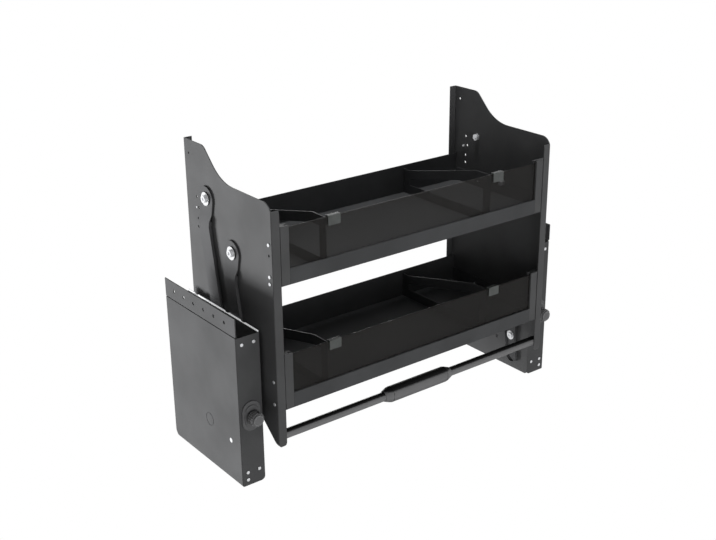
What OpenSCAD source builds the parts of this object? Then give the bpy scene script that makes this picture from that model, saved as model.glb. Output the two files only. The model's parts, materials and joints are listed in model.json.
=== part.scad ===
// Pull-down two-tier rack for a wall cabinet. Two fixed mechanism housings carry
// four swing arms, and the arms carry a level carriage with two glass-fronted trays.
// Millimetres. X across the cabinet, +Y into the cabinet, +Z up.
// The origin is the middle of the footprint, at the foot of the housings.

/* [Overall] */
// Width over the outer faces of the two housings
overall_w = 766; // [650:1:950]
// Setback of the housings behind the front of the carriage
housing_setback = 40; // [30:1:50]

/* [Housings] */
// Width of one housing
housing_w = 48; // [46:0.5:56]
// Depth of the housings
housing_d = 242; // [236:1:270]
// Height of the housing covers
housing_h = 294; // [270:1:330]
// Height of the screw flange above the cover
flange_h = 37; // [30:1:50]
// Thickness of the structural plates
plate_t = 2; // [1.6:0.1:2.2]
// Thickness of the sheet covers and trays
sheet_t = 1.2; // [0.8:0.1:1.4]
// Pitch of the cabinet screw holes
screw_pitch = 35; // [30:0.5:36]
// Number of cabinet screw holes in one flange
screw_count = 6; // [4:1:6]
// Diameter of the cabinet screw holes
screw_hole_d = 6.5; // [5:0.1:7]
// Radius of the lower corners of the cover front
cover_corner_r = 8; // [4:0.5:10]
// Radius of the lower rear corners of the housing
heel_r = 16; // [6:1:24]
// Diameter of the spacers between the housing plates
spacer_d = 10; // [8:0.5:14]
// Diameter of the housing rivet heads
rivet_d = 6.4; // [4:0.2:7]

/* [Side plates] */
// Height of the rear top corner of the carriage
plate_top = 589; // [570:1:620]
// Height of the front top edge of the side plates
plate_low_top = 534; // [515:1:545]
// Depth of the side plates
plate_d = 278; // [272:1:300]
// Width of the folded front and rear flanges
fold_w = 16.5; // [12:0.5:20]
// Height of the lower edge of the side plates
plate_foot = 146; // [142:1:148]
// Height of the toe that carries the handle
toe_z = 78; // [74:1:79]
// Radius of the front top corner
brow_r = 22; // [10:1:25]
// Radius of the shoulder at the top of the step
shoulder_r = 20; // [12:1:26]
// Radius of the hollow at the foot of the step
hollow_r = 90; // [60:1:95]
// Depth of the low front part of the top edge
low_top_d = 118; // [105:1:122]

/* [Arms] */
// Depth of the front lower pivot behind the carriage front
pivot_y = 90; // [86:1:92]
// Height of the front lower pivot
pivot_z = 76; // [74:1:80]
// Offset of the rear pivots, both back and up
pivot_step = 79.5; // [77:0.5:81]
// Lean of the upper pivots behind the lower pivots
arm_lean = 36.4; // [34:0.2:38]
// Rise from the lower to the upper pivots
arm_rise = 337; // [330:0.2:340]
// Width of the arm body
arm_w = 35; // [30:0.5:36]
// Diameter of the upper arm head
arm_head_d = 46; // [40:1:47]
// Thickness of the arm sheet
arm_t = 2.2; // [1.8:0.1:2.4]
// Height of the pressed arm channel
arm_channel = 6; // [5:0.1:6.1]
// Length of the tail below the front lower pivot
tail_l = 46; // [40:1:60]
// Sideways offset of the arm body at its upper knee
knee_top = 11; // [4:0.5:12]
// Sideways offset of the arm body at its lower knee
knee_low = 6; // [3:0.5:9]
// Swing of the arms from closed to open
max_swing = 112; // [104:1:112]
// Diameter of the pivot bolts
bolt_d = 8; // [6:0.5:9]
// Diameter of the upper pivot washers
washer_d = 25; // [20:0.5:26]
// Diameter of the lower arm bolt heads
low_bolt_d = 20; // [16:0.5:22]

/* [Drive] */
// Diameter of the lower arm shafts
shaft_d = 16; // [14:0.5:17]
// Outer diameter of the shaft bushes
bush_d = 22; // [20:0.5:24]
// Diameter of the rotary dampers
damper_d = 40; // [34:1:42]
// Radius from the rear shaft to the crank pin
crank_r = 30; // [26:0.5:32]
// Angle of the crank from the rearward direction at rest
crank_angle = 197; // [194:1:204]
// Diameter of the crank pin
crank_pin_d = 6; // [5:0.2:7]
// Wire diameter of the balance springs
wire_d = 2.4; // [2:0.1:2.6]
// Coil diameter of the balance springs, over the wire
coil_d = 15; // [12:0.5:16]
// Number of curls in one balance spring
curls = 12; // [8:1:14]

/* [Adjusters] */
// Height of the adjuster knobs
knob_z = 139; // [134:1:142]
// Distance of the knob axis from the housing's inner face
knob_inset = 24; // [22:0.5:25]
// Diameter of the adjuster knobs
knob_d = 27; // [22:0.5:30]
// Length of the adjuster knobs
knob_l = 21; // [16:0.5:24]
// Height of the oval knob plate
oval_h = 58; // [50:1:62]
// Width of the oval knob plate
oval_w = 38; // [34:1:42]
// Diameter of the adjuster screws
screw_d = 10; // [8:0.5:11]

/* [Trays] */
// Height of the underside of the upper tray
upper_tray_z = 384.5; // [378:0.5:390]
// Height of the underside of the lower tray
lower_tray_z = 150; // [149.5:0.5:153]
// Height of the tray front rail
rail_h = 28.5; // [24:0.5:34]
// Height of the corner posts above the tray underside
post_h = 106.5; // [100:0.5:120]
// Height of the glass top edge above the tray underside
glass_h = 102; // [90:0.5:106]
// Thickness of the glass
glass_t = 4; // [3:0.2:5]
// Width of the visible face of the corner posts
post_w = 17; // [12:0.5:19]
// Depth of the corner posts
post_d = 14; // [12:0.5:16]
// Height of the tray back wall
back_h = 60; // [40:1:80]
// Depth of the trays
tray_d = 270; // [260:1:272]

/* [Dividers] */
// Place of the upper left divider across the rack
upper_left_x = -209; // [-260:1:-60]
// Place of the upper right divider across the rack
upper_right_x = 179; // [60:1:240]
// Place of the lower left divider across the rack
lower_left_x = -211; // [-260:1:-60]
// Place of the lower right divider across the rack
lower_right_x = 178; // [60:1:240]
// Height of the dividers at the front
divider_h = 98; // [80:1:100]
// Width of the divider clips
clip_w = 26; // [20:1:30]
// Height of the divider clips
clip_h = 16; // [12:0.5:20]
// Wall of the divider clips
clip_t = 2.2; // [1.6:0.1:2.4]

/* [Handle] */
// Diameter of the handle bar
bar_d = 18; // [16:0.5:20]
// Height of the handle bar
bar_z = 96.5; // [95:0.5:98]
// Diameter of the grip
grip_d = 31; // [26:0.5:33]
// Length of the grip
grip_l = 166; // [140:1:220]
// Length of the tapered grip ends
grip_end = 15; // [8:0.5:20]

/* [Fits] */
// Gap between pieces that move past each other
gap = 0.3; // [0.3:0.05:0.4]
// Radial clearance of pins and shafts in their bushes
run_fit = 0.06; // [0.03:0.01:0.1]
// Width of the arm channel gap, from side plate to housing
arm_gap = 7.5; // [7.3:0.1:8]

/* [Hidden] */
$fn = 64;

// Named small values
over = 1;            // overrun of every cut
big = 1000;          // longer than the whole rack
smooth = 10;         // segments of an outline arc

// Across the rack, as distances from the mid-plane
wall_x = overall_w / 2;                      // outer face of the housing
cheek_x = wall_x - housing_w;                // inner face of the housing
side_x = cheek_x - arm_gap;                  // outer face of the side plate
side_in = side_x - plate_t;                  // inner face of the side plate
fold_in = side_x - fold_w;                   // inner edge of the side plate folds
skin_x = wall_x - sheet_t;                   // inner face of the cover's side
back_plate_x = skin_x - plate_t;             // inner face of the mounting plate
inner_x = cheek_x + plate_t;                 // back face of the inner plate
web_out = cheek_x - arm_gap / 9;             // outer face of the arm web
web_in = web_out - arm_t;
channel_in = web_out - arm_channel;          // inner edge of the arm channel
head_in = side_x + gap + gap / 2;            // inner face of the arm head
knob_x = cheek_x + knob_inset;

// Front to back, before the frame is moved to the middle of the footprint
house_y0 = housing_setback;
house_y1 = house_y0 + housing_d;
bar_y = plate_t + bar_d / 2;
mid_y = (bar_y - grip_d / 2 + house_y1) / 2;

// Heights
flange_z = housing_h + flange_h;
joggle_h = 2 * sheet_t;
joint_h = sheet_t * 1.5;                      // open joint between cover and flange
joggle_z = housing_h + joint_h;
screw_z = housing_h + flange_h * 0.52;
screw_y0 = house_y0 + screw_pitch;

// Pivots in the Y-Z plane
low_front = [pivot_y, pivot_z];
low_rear = low_front + [pivot_step, pivot_step];
arm_vec = [arm_lean, arm_rise];
top_front = low_front + arm_vec;
top_rear = low_rear + arm_vec;
arm_l = norm(arm_vec);
arm_angle = atan2(arm_rise, arm_lean);

// Arm outline along its own axis: first along, then across
knee_share = 0.145;
knee_a = [arm_l * knee_share, knee_low];
knee_b = [arm_l * (1 - knee_share), -knee_top];
tail_end = [-tail_l, knee_low / 4];
hub_r = arm_w * 0.43;
tail_r = arm_w * 0.41;
arm_fold_t = arm_t * 0.8;
ramp_l = arm_channel * 2;
bush_hole_d = bolt_d + 5 / 8 * bolt_d;       // hole for the flanged bush
nut_across = bolt_d * 1.8;

// Rows of holes and screws on the side plates, depth and height
spare_holes = [[plate_d - 16, plate_top - 25], [plate_d - 37, plate_top - 102],
               [plate_d - 42, plate_top - 121], [plate_d - 37, plate_top - 143],
               [plate_d - 37, plate_top - 159]];
post_mid = (plate_t + post_d) / 2 + plate_t;
screw_heights = [upper_tray_z + rail_h * 0.22, upper_tray_z + rail_h * 0.67,
                 upper_tray_z + post_h * 0.72, lower_tray_z + rail_h * 0.45,
                 lower_tray_z + post_h * 0.53];
rear_screws = [[top_rear[0] - bolt_d, upper_tray_z + rail_h / 2],
               [top_rear[0] - bolt_d, lower_tray_z + rail_h / 2],
               [plate_d - 33, plate_top - 123]];
front_screws = [for (z = screw_heights) [post_mid, z]];
screw_shank_d = 4;
spare_d = 5;

// Rivets on the housing front: from the inner face, height
rivet_edge = rivet_d * 1.85;
rivet_low = rivet_edge * 2.25;
rivet_high = housing_h - rivet_edge * 1.2;
rivet_places = [[rivet_edge, rivet_high], [rivet_edge, rivet_low],
                [housing_w - rivet_edge, rivet_high],
                [housing_w - rivet_edge, rivet_low],
                [housing_w - rivet_edge, rivet_edge]];
rivet_fold = rivet_edge * 1.55;
cover_bend_r = sheet_t * 1.7;
cover_outer_r = cover_corner_r / 2;
cover_screw_d = rivet_d * 1.45;
collar_d = screw_d * 1.6;

// Spacers between the housing plates, depth and height
spacer_edge = 22;
spacer_places = [[house_y0 + spacer_edge * 1.4, housing_h - spacer_edge],
                 [house_y1 - spacer_edge, housing_h - spacer_edge],
                 [house_y1 - spacer_edge, spacer_edge],
                 [house_y0 + spacer_edge * 4, spacer_edge]];

// Crank and spring in the Y-Z plane
crank_pin = low_rear + crank_r * [cos(crank_angle), sin(crank_angle)];
crank_t = 4;
crank_x = knob_x - coil_d / 2 - crank_t - 4 * gap;
crank_end_r = crank_pin_d * 1.2;
hub_d = shaft_d * 1.6;
nut_l = 16;
nut_w = screw_d * 1.8;
nut_y = house_y0 + nut_l * 1.9;
spring_z = knob_z + screw_d / 2 + coil_d / 2 + 6 * gap;
spring_a = [nut_y + nut_l / 2 + gap, spring_z];
spring_vec = crank_pin - spring_a;
spring_l = norm(spring_vec) - crank_pin_d / 2;
spring_tilt = atan2(spring_vec[1], spring_vec[0]);
coil_r = (coil_d - wire_d) / 2;
lead_l = wire_d * 2;
coil_pitch = (spring_l - 2 * lead_l) / curls;
rings_per_curl = 8;
wire_sides = 6;
fade_share = 0.5;                            // part of a curl that runs in or out
rest_share = 0.7;                            // where the closed stop meets the crank
coil_rings = curls * rings_per_curl;

// Grip, clip and tray details
glass_y = plate_t * 2 + gap;                 // front face of the glass
post_face = plate_t * 0.3;                   // front face of posts and rails
seam = plate_t * 0.75;                       // dark joint beside the side plates
post_out = fold_in - seam;
post_in = post_out - post_w;
rail_out = post_in - gap;
groove_w = glass_t + gap;
groove_l = post_w / 2.5;
glass_half = post_in + groove_l - gap;
divider_t = 1.5;
divider_y0 = glass_y + glass_t + gap + clip_t;
divider_y1 = tray_d - sheet_t - gap * 2;

// Colours
steel_grey = [0.33, 0.34, 0.35];
dark_grey = [0.22, 0.22, 0.23];
silver = [0.8, 0.8, 0.8];
smoked = [0.35, 0.3, 0.27, 0.6];
pale = [0.75, 0.8, 0.76, 0.8];
rubber_black = [0.08, 0.08, 0.08];
nylon = [0.9, 0.9, 0.86];

// Frame: everything is drawn from the carriage front and moved back once
module framed() { translate([0, -mid_y, 0]) children(); }

// A piece of the right side, or its mirror image on the left
module on_side(s) { framed() mirror([s < 0 ? 1 : 0, 0, 0]) children(); }

// Extrudes a Y-Z outline along X from x0 to x1
module slab(x0, x1) {
    translate([x0, 0, 0]) rotate([90, 0, 90]) linear_extrude(x1 - x0) children();
}

// A round bar along X at a Y-Z place
module rod_x(p, d, x0, x1) {
    translate([x0, p[0], p[1]]) rotate([0, 90, 0]) cylinder(d = d, h = x1 - x0);
}

// A round bar along Y at an X-Z place
module rod_y(x, z, d, y0, y1) {
    translate([x, y0, z]) rotate([-90, 0, 0]) cylinder(d = d, h = y1 - y0);
}

module block(x0, x1, y0, y1, z0, z1) {
    translate([x0, y0, z0]) cube([x1 - x0, y1 - y0, z1 - z0]);
}

// Points of an arc about c
function arc(c, r, a0, a1) =
    [for (i = [0:smooth]) c + r * [cos(a0 + (a1 - a0) * i / smooth), sin(a0 + (a1 - a0) * i / smooth)]];

// Flat strap with round ends of two radii, in its own plane
module strap(a, ra, b, rb) {
    d = b - a;
    base = atan2(d[1], d[0]);
    tilt = acos((ra - rb) / norm(d));
    translate(a) circle(r = ra);
    translate(b) circle(r = rb);
    polygon([for (s = [1, -1], end = [0, 1])
        let (e = s > 0 ? end : 1 - end)
        (e == 0 ? a : b) + (e == 0 ? ra : rb) * [cos(base + s * tilt), sin(base + s * tilt)]]);
}

// Housings

module housing_outline(y0, z0, z1) {
    polygon(concat([[y0, z0]], arc([house_y1 - heel_r, z0 + heel_r], heel_r, -90, 0),
        [[house_y1, z1], [y0, z1]]));
}

module shaft_holes(d, x0, x1) {
    for (p = [low_front, low_rear]) rod_x(p, d, x0, x1);
}

module spacer_holes(x0, x1) {
    for (p = spacer_places) rod_x(p, screw_shank_d, x0, x1);
}

module mounting_plate(s) {
    on_side(s) color(steel_grey) difference() {
        union() {
            slab(back_plate_x, skin_x) housing_outline(house_y0 + cover_bend_r,
                cover_outer_r, joggle_z + joggle_h / 2);
            block(back_plate_x, wall_x, house_y0 + sheet_t, house_y1,
                joggle_z, joggle_z + joggle_h);
            block(wall_x - plate_t, wall_x, house_y0, house_y1,
                joggle_z + joggle_h / 2, flange_z);
            block(back_plate_x - rivet_fold, wall_x - cover_bend_r, house_y0 + sheet_t,
                house_y0 + cover_bend_r + plate_t, cover_outer_r, housing_h - rivet_edge / 2);
        }
        rod_y(knob_x, knob_z, collar_d + 2 * gap, house_y0, house_y0 + collar_d);
        for (i = [0:screw_count - 1])
            rod_x([screw_y0 + screw_pitch * i, screw_z], screw_hole_d,
                back_plate_x - over, wall_x + over);
        spacer_holes(back_plate_x - over, skin_x + over);
        for (p = rivet_places)
            rod_y(cheek_x + p[0], p[1], rivet_d / 2, house_y0, house_y0 + rivet_d);
    }
}

// Cover: front face, outer bend and outer side in one folded sheet
module housing_cover(s) {
    bend_r = cover_bend_r;
    on_side(s) color(dark_grey) difference() {
        intersection() {
            linear_extrude(housing_h) {
                translate([cheek_x, house_y0]) square([housing_w - bend_r, sheet_t]);
                translate([skin_x, house_y0 + bend_r]) square([sheet_t, housing_d - bend_r]);
                translate([wall_x - bend_r, house_y0 + bend_r]) intersection() {
                    difference() {
                        circle(r = bend_r);
                        circle(r = bend_r - sheet_t);
                    }
                    translate([0, -bend_r]) square(bend_r);
                }
            }
            slab(0, wall_x + over) housing_outline(0, 0, housing_h);
            translate([0, house_y1 + over, 0]) rotate([90, 0, 0])
                linear_extrude(big) cover_front_outline();
        }
        cover_cuts();
    }
}

module cover_front_outline() {
    polygon(concat(arc([cheek_x + cover_corner_r, cover_corner_r], cover_corner_r, 180, 270),
        arc([wall_x - cover_outer_r, cover_outer_r], cover_outer_r, 270, 360),
        [[wall_x, housing_h], [cheek_x, housing_h]]));
}

// Rivet holes, adjuster hole, a pressed ring and a screw hole in the cover
module cover_cuts() {
    ring_r = spacer_d * 1.3;
    for (p = rivet_places)
        rod_y(cheek_x + p[0], p[1], rivet_d / 2, house_y0 - over, house_y0 + rivet_d);
    rod_y(knob_x, knob_z, screw_d + 4 * gap, house_y0 - over, house_y0 + over * 3);
    translate([wall_x - sheet_t / 2, house_y0 + housing_d * 0.435, housing_h * 0.32])
        rotate([0, 90, 0]) difference() {
            cylinder(r = ring_r, h = sheet_t);
            translate([0, 0, -over]) cylinder(r = ring_r - sheet_t, h = sheet_t * 3);
        }
    rod_x([house_y0 + housing_d * 0.137, housing_h * 0.28], cover_screw_d,
        skin_x - over, wall_x + over);
}

module inner_plate(s) {
    notch = [spacer_d * 1.3, plate_t];
    top = housing_h + plate_t * 1.5;
    on_side(s) color(steel_grey) difference() {
        union() {
            slab(cheek_x, inner_x) housing_outline(house_y0 + sheet_t, 0, top);
            block(inner_x - plate_t / 2, inner_x + rivet_fold, house_y0 + sheet_t,
                house_y0 + sheet_t + plate_t, cover_corner_r, housing_h - rivet_edge / 2);
        }
        rod_y(knob_x, knob_z, collar_d + 2 * gap, house_y0, house_y0 + collar_d);
        for (share = [0.21, 0.43, 0.87])
            block(cheek_x - over, inner_x + over, house_y0 + housing_d * share - notch[0] / 2,
                house_y0 + housing_d * share + notch[0] / 2, top - notch[1], top + over);
        shaft_holes(bush_d, cheek_x - over, inner_x + over);
        spacer_holes(cheek_x - over, inner_x + over);
        rod_x(low_front + [spacer_edge * 2, -spacer_edge * 0.85], rivet_d * 1.2,
            cheek_x - over, inner_x + over);
        for (p = rivet_places)
            rod_y(cheek_x + p[0], p[1], rivet_d / 2, house_y0, house_y0 + rivet_d);
        slab(cheek_x - over, inner_x + over) difference() {
            translate([house_y0, -over]) square(cover_corner_r + over);
            translate([house_y0 + cover_corner_r, cover_corner_r]) circle(r = cover_corner_r);
            translate([house_y0 + cover_corner_r, -over]) square(big);
        }
    }
}

module housing_spacers() {
    for (s = [1, -1]) on_side(s) color(silver)
        for (p = spacer_places) {
            rod_x(p, spacer_d, inner_x, back_plate_x);
            rod_x(p, screw_shank_d, cheek_x, skin_x);
        }
}

module housing_rivets() {
    head = rivet_d / 5;
    for (s = [1, -1]) on_side(s) color(silver) {
        for (p = rivet_places) {
            rod_y(cheek_x + p[0], p[1], rivet_d, house_y0 - head, house_y0);
            rod_y(cheek_x + p[0], p[1], rivet_d / 2, house_y0, house_y0 + sheet_t + plate_t);
        }
        rod_x([house_y0 + housing_d * 0.137, housing_h * 0.28], cover_screw_d, skin_x, wall_x);
    }
}

module shaft_bushes() {
    bore = shaft_d + 2 * run_fit;
    for (s = [1, -1]) on_side(s) color(nylon) for (p = [low_front, low_rear]) difference() {
        union() {
            rod_x(p, bush_d, cheek_x, inner_x + plate_t * 2);
            rod_x(p, bush_d + 2 * plate_t, inner_x, inner_x + plate_t);
            rod_x(p, bush_d, back_plate_x - plate_t * 3, back_plate_x);
        }
        rod_x(p, bore, cheek_x - over, back_plate_x + over);
    }
}

module rotary_dampers() {
    for (s = [1, -1]) on_side(s) color(rubber_black) difference() {
        union() {
            rod_x(low_front, damper_d, inner_x + plate_t * 2, inner_x + damper_d * 0.45);
            rod_x(low_front, damper_d * 0.7, inner_x + plate_t * 2, inner_x + damper_d * 0.55);
        }
        rod_x(low_front, shaft_d + 2 * run_fit, 0, big);
    }
}

// Rubber buffers: one stops the tail of the front arm, one the crank
module stop_buffers() {
    buffer_d = spacer_d;
    open_dir = arm_angle + max_swing + atan2(tail_end[1], tail_end[0]);
    tail_at = low_front + norm(tail_end) * [cos(open_dir), sin(open_dir)];
    open_at = tail_at + (tail_r + buffer_d / 2 + gap) * [cos(open_dir + 90), sin(open_dir + 90)];
    taper = (hub_d / 2 - crank_end_r) / crank_r;
    crank_half = (hub_d / 2 - crank_r * rest_share * taper) / sqrt(1 - taper * taper);
    rest_at = low_rear + crank_r * rest_share * [cos(crank_angle), sin(crank_angle)]
        + (crank_half + buffer_d / 2 + gap) * [cos(crank_angle - 90), sin(crank_angle - 90)];
    for (s = [1, -1]) on_side(s) color(rubber_black) {
        rod_x(open_at, buffer_d, channel_in, cheek_x);
        rod_x(rest_at, buffer_d, inner_x, crank_x + crank_t);
    }
}

module oval(w, h, y0, y1) {
    r = w / 2;
    translate([knob_x, y1, knob_z]) rotate([90, 0, 0]) linear_extrude(y1 - y0) {
        for (z = [-1, 1]) translate([0, z * (h / 2 - r)]) circle(r = r);
        square([w, h - w], center = true);
    }
}

module knob_plate(s) {
    step = sheet_t * 2;
    on_side(s) color(dark_grey) difference() {
        union() {
            oval(oval_w, oval_h, house_y0 - step, house_y0);
            oval(oval_w * 0.76, oval_h * 0.76, house_y0 - step * 2, house_y0 - step);
        }
        rod_y(knob_x, knob_z, screw_d + 2 * gap, house_y0 - step * 3, house_y0 + over);
    }
}

// Swing arms

// Places in the arm's own plane, along and across, at a lower pivot
module arm_place(p) {
    translate([0, p[0], p[1]]) rotate([arm_angle, 0, 0]) children();
}

// Outline of a band round a row of discs, each a centre and a radius
function tangent(a, b, s) = atan2(b[0][1] - a[0][1], b[0][0] - a[0][0])
    + s * acos((a[1] - b[1]) / norm(b[0] - a[0]));
function lobe(disc, u, v, n) = [for (i = [0:n])
    disc[0] + disc[1] * [cos(u + (v - u) * i / n), sin(u + (v - u) * i / n)]];
function corner(disc, u, v) = v < u ? lobe(disc, u, v, 2)
    : [disc[0] + disc[1] / cos((v - u) / 2) * [cos((u + v) / 2), sin((u + v) / 2)]];
function band(discs) = let (n = len(discs) - 1,
    left = [for (i = [0:n - 1]) tangent(discs[i], discs[i + 1], 1)],
    right = [for (i = [0:n - 1]) tangent(discs[i], discs[i + 1], -1)])
    concat([for (i = [1:n - 1]) each corner(discs[i], left[i - 1], left[i])],
        lobe(discs[n], left[n - 1], right[n - 1], 2 * smooth),
        [for (i = [n - 1:-1:1]) each corner(discs[i], right[i], right[i - 1])],
        lobe(discs[0], right[0], left[0] - 360, 2 * smooth));

// The arm outline, narrowed by inset for the inside of the channel
module arm_outline(tail, inset) {
    r = arm_w / 2 - inset;
    discs = [[[0, 0], hub_r - inset], [knee_a, r], [knee_b, r],
        [[arm_l, 0], arm_head_d / 2 - inset]];
    polygon(band(tail ? concat([[tail_end, tail_r - inset]], discs) : discs));
}

// A pressed channel: the web stands off and ramps in to the flat upper head
module arm(s, p, tail) {
    ramp_1 = arm_l - arm_head_d * 0.62;
    ramp_0 = ramp_1 - ramp_l;
    low = [head_in, head_in + arm_t];
    on_side(s) color(steel_grey) difference() {
        arm_place(p) {
            intersection() {
                slab(web_in, web_out) arm_outline(tail, 0);
                block(0, big, -big, ramp_0, -big, big);
            }
            intersection() {
                slab(head_in, web_out) arm_outline(tail, 0);
                translate([0, 0, -big / 2]) linear_extrude(big) polygon([
                    [web_in, ramp_0 - over], [web_out, ramp_0 - over], [web_out, ramp_0],
                    [low[1], ramp_1], [low[1], ramp_1 + over], [low[0], ramp_1 + over],
                    [low[0], ramp_1], [web_in, ramp_0]]);
            }
            intersection() {
                slab(low[0], low[1]) arm_outline(tail, 0);
                block(0, big, ramp_1, big, -big, big);
            }
            intersection() {
                slab(channel_in, web_out - arm_t / 2) difference() {
                    arm_outline(tail, 0);
                    arm_outline(tail, arm_fold_t);
                }
                block(0, big, -big, ramp_0, -big, big);
            }
        }
        rod_x(p + arm_vec, bush_hole_d, head_in - over, web_out + over);
        rod_x(p, bolt_d, head_in - over, web_out + over);
    }
}

// Flanged nylon bush in the upper head
module arm_bush(s, p) {
    on_side(s) color(nylon) difference() {
        union() {
            rod_x(p + arm_vec, bush_hole_d, side_x + gap, head_in + arm_t + gap);
            rod_x(p + arm_vec, bush_hole_d + bolt_d / 2, head_in + arm_t,
                head_in + arm_t + gap * 2);
        }
        rod_x(p + arm_vec, bolt_d + 2 * run_fit, 0, big);
    }
}

module arm_shaft(s, p) {
    on_side(s) color(silver) difference() {
        rod_x(p, shaft_d, web_out, back_plate_x - gap);
        rod_x(p, bolt_d, 0, web_out + housing_w / 3);
    }
}

module arm_bolt(s, p) {
    head_x = web_in - (web_in - side_x) * 0.85;
    on_side(s) color(silver) difference() {
        union() {
            rod_x(p, low_bolt_d, web_in - plate_t * 0.6, web_in);
            rod_x(p, low_bolt_d * 0.66, head_x, web_in);
            rod_x(p, bolt_d, web_in, web_out + housing_w / 3);
        }
        rod_x(p, bolt_d * 0.7, 0, head_x + plate_t * 0.6, $fn = 6);
    }
}

module crank(s) {
    on_side(s) color(silver) difference() {
        union() {
            slab(crank_x, crank_x + crank_t)
                strap(low_rear, hub_d / 2, crank_pin, crank_end_r);
            rod_x(low_rear, hub_d, crank_x, crank_x + crank_t * 2);
            rod_x(crank_pin, crank_pin_d, crank_x, knob_x + coil_d / 2);
        }
        rod_x(low_rear, shaft_d, 0, big);
    }
}

// Balance spring: one tube of wire along a straight lead, the curls and a lead

function coil_radius(i) = coil_r * min(1, i / rings_per_curl / fade_share,
    (coil_rings - i) / rings_per_curl / fade_share);
function coil_point(i) = let (a = 360 * i / rings_per_curl, r = coil_radius(i))
    [r * cos(a), r * sin(a), lead_l + coil_pitch * i / rings_per_curl];
spring_path = concat([[0, 0, 0], [0, 0, lead_l / 2]],
    [for (i = [0:coil_rings]) coil_point(i)],
    [[0, 0, spring_l - lead_l / 2], [0, 0, spring_l]]);
spring_turn = concat([0, 0], [for (i = [0:coil_rings]) 360 * i / rings_per_curl],
    [360 * curls, 360 * curls]);

function unit(v) = v / norm(v);
function path_dir(i) = i < 2 || i > len(spring_path) - 3 ? [0, 0, 1]
    : unit(spring_path[i + 1] - spring_path[i - 1]);
function wire_ring(i) = let (t = path_dir(i), out = [cos(spring_turn[i]), sin(spring_turn[i]), 0],
    u = unit(out - t * (out * t)), v = cross(t, u))
    [for (k = [0:wire_sides - 1]) spring_path[i]
        + wire_d / 2 * (u * cos(360 * k / wire_sides) + v * sin(360 * k / wire_sides))];

module spring_wire() {
    n = len(spring_path);
    points = [for (i = [0:n - 1]) each wire_ring(i)];
    sides = [for (i = [0:n - 2], k = [0:wire_sides - 1])
        let (a = i * wire_sides + k, b = i * wire_sides + (k + 1) % wire_sides)
        each [[a, b + wire_sides, b], [a, a + wire_sides, b + wire_sides]]];
    caps = [for (k = [1:wire_sides - 2]) each [[0, k, k + 1],
        [(n - 1) * wire_sides, (n - 1) * wire_sides + k + 1, (n - 1) * wire_sides + k]]];
    polyhedron(points, concat(sides, caps));
}

module spring(s) {
    on_side(s) color(silver) translate([knob_x, spring_a[0], spring_a[1]])
        rotate([spring_tilt - 90, 0, 0]) spring_wire();
}

spring_gap = min([for (i = [0:len(spring_path) - 1], j = [i + rings_per_curl - 2:1:len(spring_path) - 1])
    norm(spring_path[i] - spring_path[j])]) - wire_d;
echo(spring_least_gap = spring_gap);

// Tension adjusters

module tension_knob(s) {
    y1 = house_y0 - sheet_t * 4 - gap;
    neck = knob_d * 0.8;
    on_side(s) color(dark_grey) difference() {
        translate([knob_x, y1, knob_z]) rotate([90, 0, 0]) {
            cylinder(d = neck, h = knob_l);
            translate([0, 0, knob_l * 0.15]) cylinder(d = knob_d, h = knob_l * 0.7);
        }
        rod_y(knob_x, knob_z, screw_d, y1 - knob_l * 0.7, y1 + over);
    }
}

module tension_screw(s) {
    y0 = house_y0 - sheet_t * 4 - gap - knob_l * 0.7;
    on_side(s) color(silver) {
        rod_y(knob_x, knob_z, screw_d, y0, nut_y + nut_l * 1.1);
        rod_y(knob_x, knob_z, collar_d, house_y0 + sheet_t + gap,
            house_y0 + sheet_t + gap + plate_t);
    }
}

module tension_nut(s) {
    on_side(s) color(silver) difference() {
        union() {
            block(knob_x - nut_w / 2, knob_x + nut_w / 2, nut_y - nut_l / 2, nut_y + nut_l / 2,
                knob_z - nut_w / 2, knob_z + nut_w / 2);
            block(knob_x - plate_t * 2, knob_x + plate_t * 2, nut_y - nut_l / 2,
                nut_y + nut_l / 2, knob_z, spring_z + coil_r);
        }
        rod_y(knob_x, knob_z, screw_d + 2 * run_fit, 0, big);
    }
}

// Carriage

// Outline of a side plate, from the toe round the front and over the step
module side_outline() {
    slope = 45;
    knuckle_y = low_top_d + hollow_r * sin(slope);
    knuckle_z = plate_low_top + hollow_r * (1 - cos(slope));
    crest_y = knuckle_y + plate_top - knuckle_z + shoulder_r * (sin(slope) + cos(slope) - 1);
    toe_r = bar_d / 5;
    polygon(concat(
        arc([toe_r, toe_z + toe_r], toe_r, 270, 180),
        arc([brow_r, plate_low_top - brow_r], brow_r, 180, 90),
        arc([low_top_d, plate_low_top + hollow_r], hollow_r, 270, 270 + slope),
        arc([crest_y, plate_top - shoulder_r], shoulder_r, 90 + slope, 90),
        [[plate_d, plate_top], [plate_d, plate_foot],
         [low_front[0] - bar_d / 3, plate_foot]]));
}

module side_plate(s) {
    bend_r = plate_t;
    on_side(s) color(steel_grey) difference() {
        intersection() {
            slab(fold_in, side_x) side_outline();
            translate([0, plate_d, 0]) rotate([90, 0, 0]) linear_extrude(plate_d) toe_outline();
            linear_extrude(big) difference() {
                rounded_edge(side_x, 0, bend_r);
                rounded_edge(side_in, plate_t, bend_r - plate_t);
            }
        }
        for (p = concat(spare_holes, [[post_mid, upper_tray_z + post_h * 0.54]]))
            rod_x(p, spare_d, side_in - over, side_x + over);
        for (p = concat(front_screws, rear_screws))
            rod_x(p, screw_shank_d, side_in - over, side_x + over);
        for (p = [top_front, top_rear]) rod_x(p, bolt_d, side_in - over, side_x + over);
    }
}

// Front view of a side plate: the foot of the front fold is round
module toe_outline() {
    r = fold_w / 2;
    polygon(concat(arc([fold_in + r, toe_z + r], r, 180, 360), [[side_x, big], [fold_in, big]]));
}

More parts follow.
